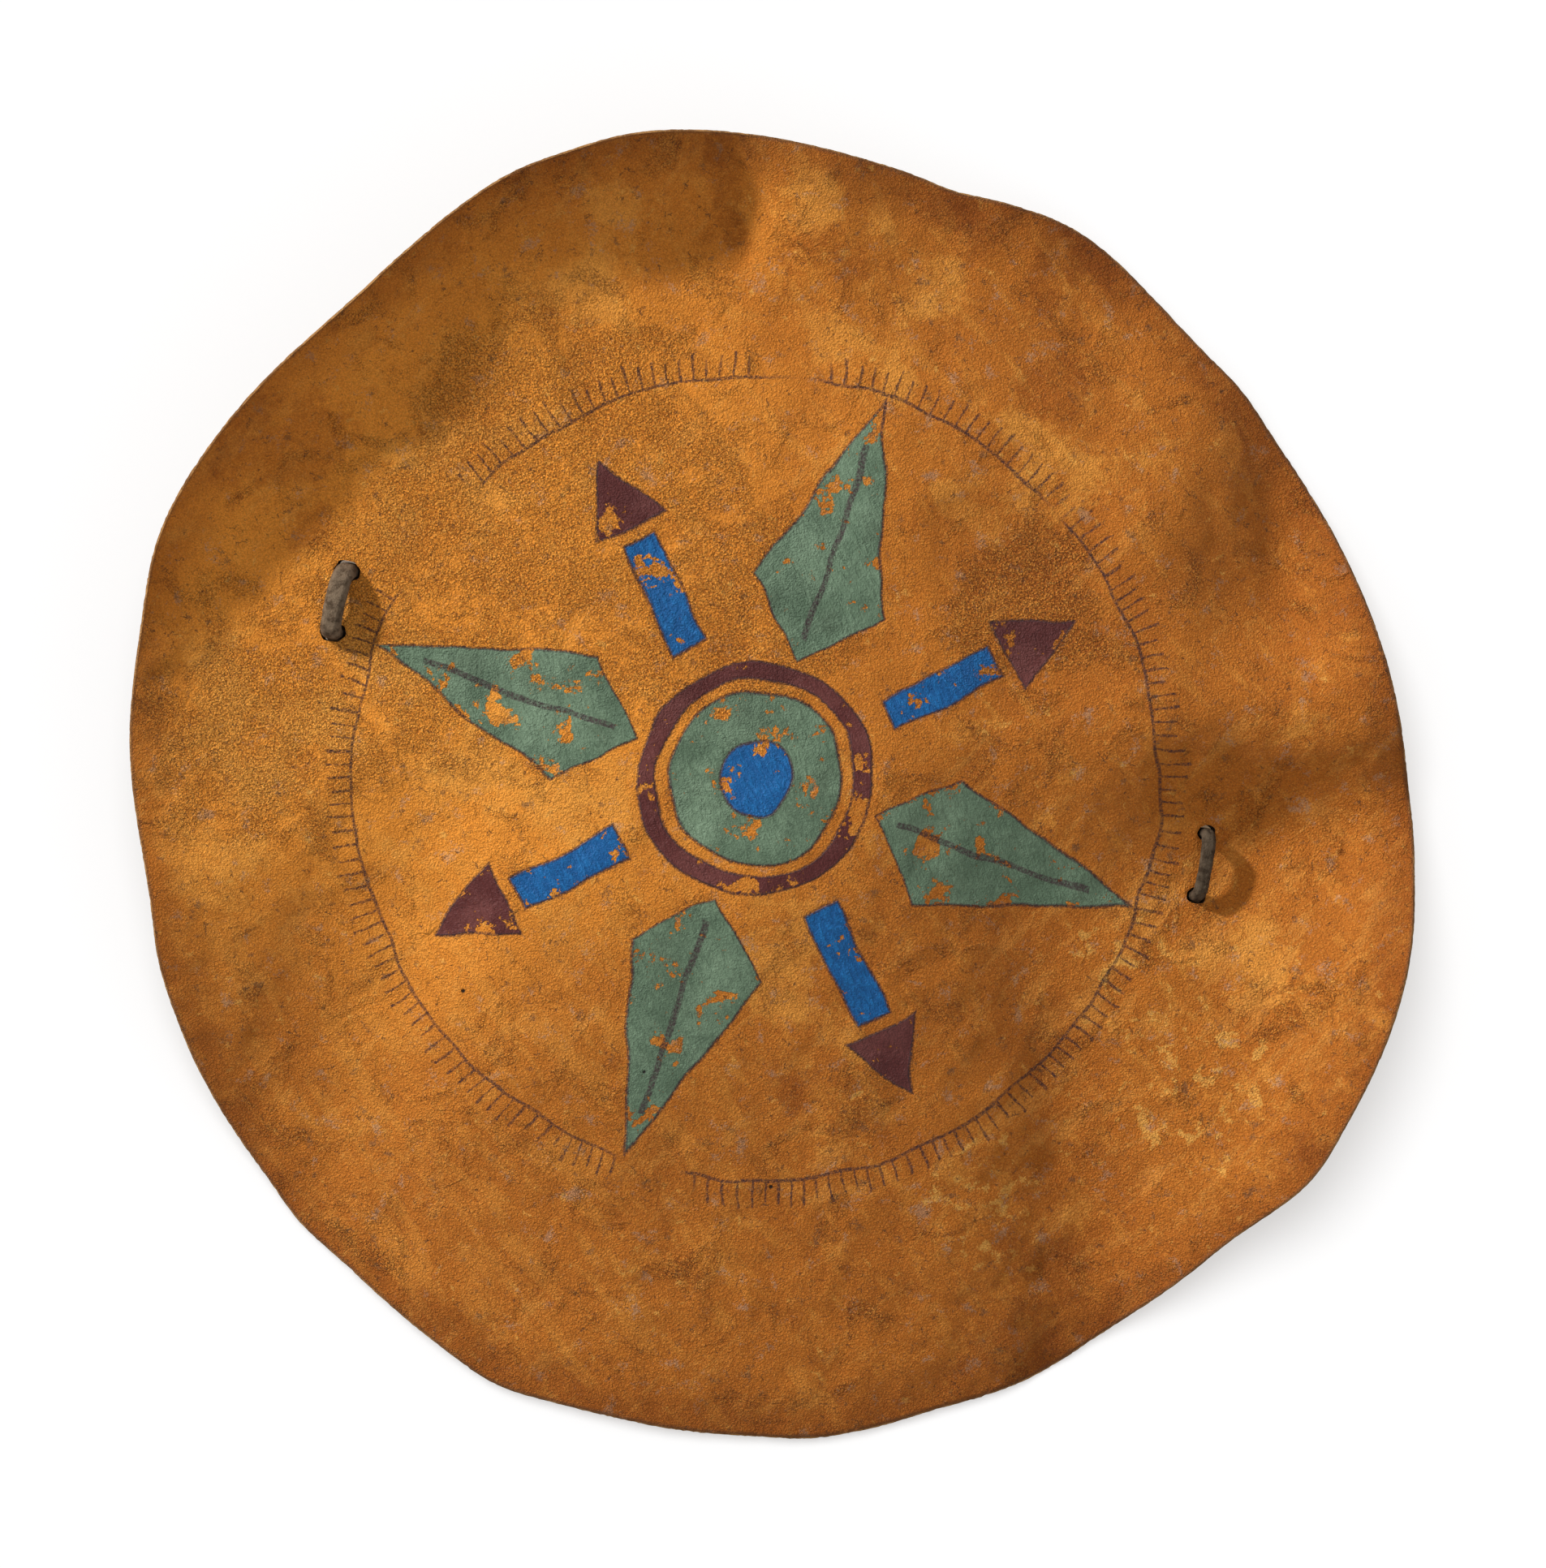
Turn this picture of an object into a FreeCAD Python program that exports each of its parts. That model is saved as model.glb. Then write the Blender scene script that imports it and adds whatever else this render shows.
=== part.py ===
import FreeCAD, Part
import math
import os

from FreeCAD import Vector

# Painted hide shield, lying on its back: the painted face looks up, +Y is the top of the face.
# Lengths are millimetres and angles are degrees, anticlockwise from +X seen from the front.

# Hide
shield_radius = 229.0
hide_thickness = 4.2
worn_depth = 0.8
grid_count = 25
grid_reach_share = 1.08

# Thongs, one pair of holes each
left_hole_pitch = 22.0
left_thong_width = 7.4
left_thong_thickness = 5.4
left_lean_angle = 10
left_draw = 1.8
left_spring_rise = 0.9
left_corner_radius = 5.0
left_crown_radius = 24.0
right_hole_pitch = 22.6
right_thong_width = 5.0
right_thong_thickness = 3.8
right_lean_angle = -3
right_draw = 1.5
right_spring_rise = 0.6
right_corner_radius = 4.2
right_crown_radius = 40.0
hole_clearance = 0.9
back_corner_radius = 4.6
knot_length = 12.0
knot_girth = 10.0
knot_bevel = 2.5
tail_width = 4.2
tail_thickness = 2.2
tail_run = 9.0
tail_bend_radius = 14.0

# Carrying strap, its folded eyes and their bindings
strap_thickness = 2.5
strap_width = 24.0
strap_end_width = 10.0
strap_lie_gap = 0.6
strap_bow = 22.0
strap_lap = 17.0
eye_throat_radius = 9.0
eye_clearance = 0.5
back_clearance = 2.2
lap_gap = 0.3
binding_width = 8.0
binding_thickness = 1.5
binding_clearance = 0.25
strap_stations = 14

overrun = 5.0

# Outline of the cut rim: angle, then distance from the middle in shield radii
outline_shares = [
    (0, 0.984), (20, 0.960), (38, 0.946), (52, 0.960), (62, 0.978), (70, 0.971), (82, 0.983),
    (97, 1.024), (110, 1.037), (121, 1.013), (131, 0.995), (141, 1.006), (151, 1.022), (159, 1.026),
    (165, 1.012), (176, 1.000), (189, 0.982), (200, 0.993), (228, 0.998), (247, 1.020), (260, 1.009),
    (275, 1.013), (290, 1.003), (308, 0.996), (322, 1.026), (334, 1.033), (348, 1.017),
]

# Swells and hollows that the hide dried into, in shield radii:
# name, x, y, length, width, height, then the direction of the length
fold_shares = [
    ("crown", -0.04, 0.04, 0.72, 0.56, 0.138, 58),
    ("upper left flap", -0.84, 0.74, 0.55, 0.15, 0.188, 38),
    ("left rim lift", -1.06, 0.32, 0.18, 0.11, 0.064, 80),
    ("top flap", -0.24, 1.06, 0.21, 0.13, 0.100, 8),
    ("lower right lift", 1.02, -0.46, 0.42, 0.17, 0.150, 66),
    ("lower left lip", -0.98, -0.10, 0.22, 0.10, 0.045, 95),
    ("left trough", -0.60, -0.28, 0.22, 0.09, -0.035, 78),
    ("lower swell", -0.24, -0.33, 0.26, 0.20, 0.018, 60),
    ("foot swell", 0.22, -0.50, 0.26, 0.15, 0.012, 98),
    ("foot trough", 0.49, -0.80, 0.36, 0.085, -0.034, 100),
    ("head swell", 0.61, 0.35, 0.21, 0.11, 0.035, 80),
    ("head trough", 0.83, 0.42, 0.22, 0.09, -0.046, 78),
    ("head lip", 0.98, 0.48, 0.22, 0.09, 0.074, 72),
    ("cheek ridge", 0.90, 0.125, 0.25, 0.08, 0.072, 4),
    ("cheek hollow", 0.80, -0.09, 0.20, 0.09, -0.040, 12),
    ("top crease", -0.07, 0.92, 0.13, 0.08, -0.028, 85),
    ("top lump", 0.07, 0.92, 0.11, 0.08, 0.038, 80),
    ("brow swell", 0.22, 0.46, 0.15, 0.10, 0.012, 60),
    ("shoulder", 0.12, -0.06, 0.20, 0.13, 0.018, 60),
    ("top right lip", 0.39, 1.00, 0.26, 0.08, 0.052, -22),
    ("upper right rest", 0.60, 0.82, 0.16, 0.14, -0.046, -45),
    ("lower left rest", -0.80, -0.62, 0.18, 0.16, -0.040, -52),
    ("lower right rest", 0.43, -1.08, 0.18, 0.15, -0.036, 20),
    ("bottom lift", -0.26, -0.98, 0.24, 0.16, 0.026, -10),
]

# The hide is a shallow saddle: it falls away along one line through the middle
saddle_share = 0.145
saddle_angle = 58

# The rim touches the ground at three places: angle, then distance in shield radii
rest_shares = [(52, 0.960), (223.5, 0.997), (296, 1.001)]

# Middle of each pair of holes in shield radii, and the direction of the pair
left_pair_share = (-0.671, 0.285)
left_pair_angle = 76.4
right_pair_share = (0.663, -0.123)
right_pair_angle = 80.6

# How steeply the slack strap leaves each bar for the ground
left_droop_angle = 24
right_droop_angle = 13

# Part of a thong's thickness that its worn corners take
bevel_share = 0.3

# The two tails of a knot: how far each spreads sideways, then how far it droops
knot_tail_angles = [(-24, 26), (24, 8)]


def turned(direction):
    """Return the level unit vector at an angle."""
    angle = math.radians(direction)
    return Vector(math.cos(angle), math.sin(angle), 0)


def raw_height(x, y):
    """Return the height of the hide's face before it is levelled."""
    fall = turned(saddle_angle)
    along = (x * fall.x + y * fall.y) / shield_radius
    total = -saddle_share * along ** 2
    for name, x_share, y_share, length, width, height, direction in fold_shares:
        line = turned(direction)
        dx = x / shield_radius - x_share
        dy = y / shield_radius - y_share
        u = (dx * line.x + dy * line.y) / length
        v = (dy * line.x - dx * line.y) / width
        total += height * math.exp(-(u * u + v * v) / 2)
    return total * shield_radius


def level_plane():
    """Return the point and normal of the plane through the three resting places."""
    points = []
    for direction, share in rest_shares:
        spot = turned(direction) * (share * shield_radius)
        points.append(Vector(spot.x, spot.y, raw_height(spot.x, spot.y)))
    normal = (points[1] - points[0]).cross(points[2] - points[0])
    return points[0], normal


def face_height(x, y):
    """Return the height of the painted face above the ground."""
    point, normal = level
    plane = point.z - (normal.x * (x - point.x) + normal.y * (y - point.y)) / normal.z
    return raw_height(x, y) - plane - ground


def face_normal(x, y):
    """Return the unit normal of the painted face."""
    step = shield_radius / 500
    slope_x = (face_height(x + step, y) - face_height(x - step, y)) / (2 * step)
    slope_y = (face_height(x, y + step) - face_height(x, y - step)) / (2 * step)
    return Vector(-slope_x, -slope_y, 1).normalize()


def back_height(x, y):
    """Return the height of the hide's back, so that its thickness is the same on a slope."""
    return face_height(x, y) - hide_thickness / face_normal(x, y).z


def rim_curve():
    """Return the closed curve of the cut rim, at height zero."""
    points = [turned(direction) * (share * shield_radius) for direction, share in outline_shares]
    curve = Part.BSplineCurve()
    curve.interpolate(Points=points, PeriodicFlag=True)
    return curve


def rim_lowest(curve):
    """Return the lowest height of the back along the rim."""
    heights = []
    count = 240
    first, last = curve.FirstParameter, curve.LastParameter
    for index in range(count):
        spot = curve.value(first + (last - first) * index / count)
        heights.append(back_height(spot.x, spot.y))
    return min(heights)


def surface_block(height_of, depth):
    """Return everything under a height function, down to a depth below it."""
    reach = grid_reach_share * shield_radius
    step = 2 * reach / (grid_count - 1)
    rows = []
    for row in range(grid_count):
        x = -reach + row * step
        columns = [-reach + column * step for column in range(grid_count)]
        rows.append([Vector(x, y, height_of(x, y)) for y in columns])
    surface = Part.BSplineSurface()
    surface.interpolate(rows)
    return surface.toShape().extrude(Vector(0, 0, -depth))


def make_hide(curve, pairs):
    """Return the warped hide, cut to its outline, worn flat where it rests and holed."""
    deep = shield_radius
    rim = Part.Face(Part.Wire(curve.toShape()))
    rim.translate(Vector(0, 0, -deep / 2))
    hide = rim.extrude(Vector(0, 0, deep))
    hide = hide.common(surface_block(face_height, deep))
    hide = hide.cut(surface_block(back_height, deep))
    under = Part.makeBox(deep * 4, deep * 4, deep, Vector(-deep * 2, -deep * 2, -deep))
    hide = hide.cut(under)
    for pair in pairs:
        for side in (-1, 1):
            hide = hide.cut(hole_tool(pair, side))
    return hide.Solids[0]


class Pair:
    """The two holes of one thong, with directions taken from the hide there."""

    def __init__(self, place_share, direction, pitch, width, thickness, lean, draw, arch, droop):
        self.pitch = pitch
        self.width = width
        self.thickness = thickness
        self.spring_rise, self.corner_radius, self.crown_radius = arch
        self.droop = droop
        # The loop of the strap has room for the bar's worn corners over the whole draw
        self.bevel = bevel_share * thickness
        side_reach = math.hypot(width / 2, (thickness + draw) / 2 - self.bevel)
        face_reach = math.hypot(width / 2 - self.bevel, (thickness + draw) / 2)
        self.eye_inner = max(side_reach, face_reach) + eye_clearance
        middle = Vector(place_share[0] * shield_radius, place_share[1] * shield_radius, 0)
        along = turned(direction)
        upper = self.on_face(middle + along * (pitch / 2))
        lower = self.on_face(middle - along * (pitch / 2))
        self.middle = (upper + lower) / 2
        self.along = (upper - lower).normalize()
        normal = face_normal(middle.x, middle.y)
        self.across = self.along.cross(normal).normalize()
        tip = FreeCAD.Rotation(self.along, -lean)
        self.across = tip.multVec(self.across)
        self.out = self.across.cross(self.along).normalize()
        # The loop of the strap just clears the back, and the bar starts at the top of that loop
        self.eye_depth = hide_thickness + back_clearance + strap_thickness + self.eye_inner
        self.bar_depth = self.eye_depth - draw / 2

    def on_face(self, spot):
        """Return the point of the painted face over a level point."""
        return Vector(spot.x, spot.y, face_height(spot.x, spot.y))

    def point(self, along, out, across=0):
        """Return a point given along the pair, out of the face and across the pair."""
        return self.middle + self.along * along + self.out * out + self.across * across


def slot_face(centre, wide, thin, width, thickness):
    """Return a flat face with round ends, the section of a hole."""
    radius = thickness / 2
    reach = width / 2 - radius
    sides = []
    for end in (1, -1):
        start = centre + wide * (end * reach) - thin * (end * radius)
        tip = centre + wide * (end * (reach + radius))
        finish = centre + wide * (end * reach) + thin * (end * radius)
        sides.append(Part.Arc(start, tip, finish).toShape())
        sides.append(Part.makeLine(finish, finish - wide * (2 * end * reach)))
    return Part.Face(Part.Wire(sides))


def strip_face(centre, wide, thin, width, thickness, bevel=0):
    """Return the section of a strip, with worn corners where it has a bevel."""
    half_width, half_thickness = width / 2, thickness / 2
    corners = []
    for side, face in ((-1, -1), (1, -1), (1, 1), (-1, 1)):
        ends = [(half_width - bevel, half_thickness), (half_width, half_thickness - bevel)]
        if side == face:
            ends.reverse()
        for across, out in ends:
            corners.append(centre + wide * (side * across) + thin * (face * out))
    corners.append(corners[0])
    outline = [corners[0]]
    for corner in corners[1:]:
        if corner.distanceToPoint(outline[-1]) > bevel / 2:
            outline.append(corner)
    return Part.Face(Part.makePolygon(outline))


def sweep(face, place, heading, side, moves):
    """Carry a face along straight runs and arcs in one plane, and return the solid it fills.

    A move is (length, 0) for a run, or (radius, turn) for an arc about the side direction.
    """
    solids = []
    spot = Vector(place)
    ahead = Vector(heading)
    for size, turn in moves:
        if turn == 0:
            solids.append(face.extrude(ahead * size))
            face.translate(ahead * size)
            spot = spot + ahead * size
            continue
        axis = side if turn > 0 else side * -1
        centre = spot + axis.cross(ahead) * size
        solids.append(face.revolve(centre, axis, abs(turn)))
        face.rotate(centre, axis, abs(turn))
        swing = FreeCAD.Rotation(axis, abs(turn))
        spot = centre + swing.multVec(spot - centre)
        ahead = swing.multVec(ahead)
    return solids


def hole_tool(pair, side):
    """Return the cutter for one hole, a slot a little larger than the thong."""
    reach = hide_thickness + overrun
    centre = pair.point(side * pair.pitch / 2, -reach)
    width = pair.width + 2 * hole_clearance
    thickness = pair.thickness + 2 * hole_clearance
    face = slot_face(centre, pair.across, pair.along, width, thickness)
    return face.extrude(pair.out * (reach + overrun))


def make_thong(pair):
    """Return a thong: an arch over the face, two legs, a bar behind and a knot with two tails."""
    half = pair.pitch / 2
    corner, crown = pair.corner_radius, pair.crown_radius
    crown_half = math.degrees(math.asin((half - corner) / (crown - corner)))
    leg = pair.bar_depth - back_corner_radius + pair.spring_rise
    corner_turn = 90 - crown_half
    bar_half = half - back_corner_radius
    moves = [
        (bar_half, 0), (back_corner_radius, 90), (leg, 0), (corner, corner_turn),
        (crown, 2 * crown_half), (corner, corner_turn), (leg, 0),
        (back_corner_radius, 90), (bar_half, 0),
    ]
    start = pair.point(0, -pair.bar_depth)
    face = strip_face(start, pair.across, pair.out, pair.width, pair.thickness, pair.bevel)
    ring = sweep(face, start, pair.along, pair.across, moves)
    knot_spot = pair.point(-half, -pair.bar_depth - pair.thickness / 4)
    pieces = ring[1:] + make_knot(pair, knot_spot)
    return ring[0].multiFuse(pieces).removeSplitter().Solids[0]


def make_knot(pair, spot):
    """Return the knot at the lower corner of the back, with its two tails."""
    radius = knot_girth / 2
    straight = knot_length - 2 * knot_bevel
    lump = Part.makeCylinder(radius, straight, spot - pair.across * (straight / 2), pair.across)
    pieces = [lump]
    for way in (-1, 1):
        foot = spot + pair.across * (way * straight / 2)
        pieces.append(Part.makeCone(radius, radius - knot_bevel, knot_bevel, foot, pair.across * way))
    for spread, droop in knot_tail_angles:
        swing = FreeCAD.Rotation(pair.out, spread)
        heading = swing.multVec(pair.along * -1)
        wide = swing.multVec(pair.across)
        face = strip_face(spot, wide, pair.out, tail_width, tail_thickness)
        moves = [(tail_run, 0), (tail_bend_radius, droop), (tail_run, 0)]
        pieces.extend(sweep(face, spot, heading, wide, moves))
    return pieces


def strap_end(pair, towards):
    """Return the heading in which the strap leaves a bar, and the thin direction of its eye."""
    level_way = Vector(towards.x, towards.y, 0).normalize()
    droop = math.radians(pair.droop)
    heading = level_way * math.cos(droop) - Vector(0, 0, math.sin(droop))
    heading = heading - pair.along * heading.dot(pair.along)
    heading.normalize()
    thin = heading.cross(pair.along).normalize()
    if thin.z < 0:
        thin = thin * -1
    return heading, thin


def eye_reach(pair):
    """Return the distance from a bar to where the two layers of the strap meet."""
    loop = pair.eye_inner + strap_thickness / 2
    rise = eye_throat_radius + (strap_thickness + lap_gap) / 2
    return math.sqrt((eye_throat_radius + loop) ** 2 - rise ** 2)


def make_eye(pair, heading, thin):
    """Return the folded end of the strap: a lap, a loop round the bar and the tail under the lap."""
    loop = pair.eye_inner + strap_thickness / 2
    reach = eye_reach(pair)
    offset = (strap_thickness + lap_gap) / 2
    throat_turn = math.degrees(math.atan2(reach, eye_throat_radius + offset))
    centre = pair.point(0, -pair.eye_depth)
    start = centre + heading * (reach + strap_lap) + thin * offset
    face = strip_face(start, pair.along, thin, strap_end_width, strap_thickness)
    side = thin.cross(heading)
    return sweep(face, start, heading * -1, side, [
        (strap_lap, 0), (eye_throat_radius, throat_turn), (loop, -(180 + 2 * throat_turn)),
        (eye_throat_radius, throat_turn), (strap_lap, 0),
    ])


def lap_end(pair, heading, thin):
    """Return the middle of the strap where its lap at a bar ends."""
    offset = (strap_thickness + lap_gap) / 2
    return pair.point(0, -pair.eye_depth) + heading * (eye_reach(pair) + strap_lap) + thin * offset


def fall_share(rise, droop, distance):
    """Return the share of its first rise that a slack strap still has at a distance."""
    landing = 2 * rise / math.tan(math.radians(droop))
    return max(0, 1 - distance / landing) ** 2


def make_strap(left, right):
    """Return the carrying strap, slack on the ground between its two folded eyes."""
    across = right.middle - left.middle
    left_heading, left_thin = strap_end(left, across)
    right_heading, right_thin = strap_end(right, across * -1)
    first = lap_end(left, left_heading, left_thin)
    last = lap_end(right, right_heading, right_thin)
    span = Vector(last.x - first.x, last.y - first.y, 0)
    sideways = Vector(span.y, -span.x, 0).normalize()
    lie = strap_lie_gap + strap_thickness / 2

    def falls(share):
        from_left = fall_share(first.z - lie, left.droop, share * span.Length)
        return from_left, fall_share(last.z - lie, right.droop, (1 - share) * span.Length)

    def middle(share):
        from_left, from_right = falls(share)
        spot = Vector(first.x, first.y, lie) + span * share
        spot.z += (first.z - lie) * from_left + (last.z - lie) * from_right
        return spot + sideways * (strap_bow * math.sin(math.pi * share) ** 2)

    sections = [strip_face(first, left.along, left_thin, strap_end_width, strap_thickness).OuterWire]
    for index in range(1, strap_stations):
        share = index / strap_stations
        reach = 1 / (4 * strap_stations)
        ahead = (middle(share + reach) - middle(share - reach)).normalize()
        wide = left.along * (1 - share) + right.along * share
        from_left, from_right = falls(share)
        wide.z = left.along.z * from_left + right.along.z * from_right
        wide = (wide - ahead * wide.dot(ahead)).normalize()
        width = strap_end_width + (strap_width - strap_end_width) * math.sin(math.pi * share)
        face = strip_face(middle(share), wide, ahead.cross(wide), width, strap_thickness)
        sections.append(face.OuterWire)
    sections.append(strip_face(last, right.along, right_thin, strap_end_width, strap_thickness).OuterWire)
    body = Part.makeLoft(sections, True, False)
    eyes = make_eye(left, left_heading, left_thin) + make_eye(right, right_heading, right_thin)
    return body.multiFuse(eyes).removeSplitter().Solids[0]


def make_binding(pair, towards):
    """Return the band that holds the two layers of a folded strap end together."""
    heading, thin = strap_end(pair, towards)
    centre = pair.point(0, -pair.eye_depth)
    place = centre + heading * (eye_reach(pair) + (strap_lap - binding_width) / 2)
    width = strap_end_width + 2 * binding_clearance
    thickness = 2 * strap_thickness + lap_gap + 2 * binding_clearance
    rim = 2 * binding_thickness
    outer = strip_face(place, pair.along, thin, width + rim, thickness + rim, binding_thickness)
    band = outer.extrude(heading * binding_width)
    inner = strip_face(place - heading * overrun, pair.along, thin, width, thickness)
    return band.cut(inner.extrude(heading * (binding_width + 2 * overrun))).Solids[0]


ground = 0.0
level = level_plane()
outline = rim_curve()
ground = rim_lowest(outline) + worn_depth

left_arch = (left_spring_rise, left_corner_radius, left_crown_radius)
right_arch = (right_spring_rise, right_corner_radius, right_crown_radius)
left_pair = Pair(
    left_pair_share, left_pair_angle, left_hole_pitch, left_thong_width,
    left_thong_thickness, left_lean_angle, left_draw, left_arch, left_droop_angle,
)
right_pair = Pair(
    right_pair_share, right_pair_angle, right_hole_pitch, right_thong_width,
    right_thong_thickness, right_lean_angle, right_draw, right_arch, right_droop_angle,
)
pair_line = right_pair.middle - left_pair.middle

nodes = {
    "hide_disc": make_hide(outline, (left_pair, right_pair)),
    "left_thong": make_thong(left_pair),
    "right_thong": make_thong(right_pair),
    "carry_strap": make_strap(left_pair, right_pair),
    "left_binding": make_binding(left_pair, pair_line),
    "right_binding": make_binding(right_pair, pair_line * -1),
}

box = nodes["hide_disc"].optimalBoundingBox(False)
shift = Vector(-box.Center.x, -box.Center.y, 0)
os.makedirs("parts", exist_ok=True)
for name, solid in nodes.items():
    solid.translate(shift)
    solid.exportStep("parts/" + name + ".step")
    print(name, solid.isValid(), len(solid.Faces), round(solid.Volume), solid.BoundBox)
for name, pair in (("left", left_pair), ("right", right_pair)):
    print(name, pair.middle + shift, "out of the face", pair.out, "along", pair.along)
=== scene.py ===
import bpy
import math
import numpy as np
from functools import partialmethod
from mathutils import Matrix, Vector
from mathutils.bvhtree import BVHTree


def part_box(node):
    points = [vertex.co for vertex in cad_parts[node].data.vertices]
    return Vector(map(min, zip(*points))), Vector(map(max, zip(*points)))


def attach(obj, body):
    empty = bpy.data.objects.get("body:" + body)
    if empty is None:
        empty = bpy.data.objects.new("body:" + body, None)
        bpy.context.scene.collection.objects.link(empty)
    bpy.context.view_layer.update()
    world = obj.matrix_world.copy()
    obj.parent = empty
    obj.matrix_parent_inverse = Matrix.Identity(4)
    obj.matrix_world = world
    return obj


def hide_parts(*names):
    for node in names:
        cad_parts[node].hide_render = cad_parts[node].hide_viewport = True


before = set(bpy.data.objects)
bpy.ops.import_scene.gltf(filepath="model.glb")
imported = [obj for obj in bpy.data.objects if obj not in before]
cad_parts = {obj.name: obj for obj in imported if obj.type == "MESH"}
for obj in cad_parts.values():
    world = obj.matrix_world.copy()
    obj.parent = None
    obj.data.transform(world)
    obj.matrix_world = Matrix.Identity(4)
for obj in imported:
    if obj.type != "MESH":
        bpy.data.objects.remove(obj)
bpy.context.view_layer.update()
print("frame loaded:", ", ".join(sorted(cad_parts)))

# Where the two thongs go through the hide, in metres
thongPairs = {
    "left": {
        "middle": Vector((-0.153427, 0.064723, 0.055254)), "along": Vector((0.234822, 0.970638, 0.052148)),
        "out": Vector((-0.231125, 0.003644, 0.972917)), "pitch": 0.022, "hole": (0.0092, 0.0072), "droop": 24,
    },
    "right": {
        "middle": Vector((0.152059, -0.028709, 0.026321)), "along": Vector((0.163225, 0.985959, -0.035239)),
        "out": Vector((0.333146, -0.021461, 0.942631)), "pitch": 0.0226, "hole": (0.0068, 0.0056), "droop": 13,
    },
}


def deselectAll():
    if bpy.context.object and bpy.context.object.mode != "OBJECT":
        bpy.ops.object.mode_set(mode="OBJECT")
    bpy.ops.object.select_all(action="DESELECT")


def pickOnly(thing):
    deselectAll()
    thing.select_set(True)
    bpy.context.view_layer.objects.active = thing


def editAll(thing, operator, **settings):  # one mesh operator on the whole of a piece
    pickOnly(thing)
    bpy.ops.object.mode_set(mode="EDIT")
    bpy.ops.mesh.select_all(action="SELECT")
    operator(**settings)
    bpy.ops.object.mode_set(mode="OBJECT")


def applyModifier(thing, kind, **settings):
    pickOnly(thing)
    bpy.ops.object.modifier_add(type=kind)
    modifier = thing.modifiers[-1]
    for name, value in settings.items():
        setattr(modifier, name, value)
    bpy.ops.object.modifier_apply(modifier=modifier.name)


def displace(thing, name, sizeAndHeight, depth=2, direction="NORMAL"):
    size, height = sizeAndHeight
    texture = bpy.data.textures.new(name, "CLOUDS")
    texture.noise_scale = size
    texture.noise_depth = depth
    applyModifier(thing, "DISPLACE", texture=texture, strength=height, direction=direction, mid_level=0.5)


def readPoints(thing):
    points = np.zeros(len(thing.data.vertices) * 3)
    thing.data.vertices.foreach_get("co", points)
    return points.reshape(-1, 3)


def writePoints(thing, points):
    thing.data.vertices.foreach_set("co", points.ravel())
    thing.data.update()


def storeAttribute(thing, name, values):
    thing.data.attributes.new(name, "FLOAT", "POINT").data.foreach_set("value", values)


def handIn(piece, body, nodeName):
    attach(piece, body)
    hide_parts(nodeName)
    print(piece.name + ":", len(piece.data.polygons), "faces")


# Camera, straight above the painted face
cameraValues = {
    "imageSize": (1905, 1932),
    "metresPerPixel": 0.000288,
    "aim": (0.0001, -0.0001, 0.045),  # what the middle of the photograph shows
    "distance": 12.0,
    "sensor": 36,
    "farEnd": 50,
}


def makeCamera(values):
    deselectAll()
    x, y, z = values["aim"]
    bpy.ops.object.camera_add(location=(x, y, z + values["distance"]), rotation=(0, 0, 0))
    camera = bpy.context.object
    camera.name = "shieldCamera"
    camera.data.sensor_width = values["sensor"]
    longSide = max(values["imageSize"]) * values["metresPerPixel"]
    camera.data.lens = values["sensor"] * values["distance"] / longSide
    camera.data.clip_end = values["farEnd"]
    bpy.context.scene.camera = camera
    print("camera: lens", round(camera.data.lens), "mm")


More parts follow.
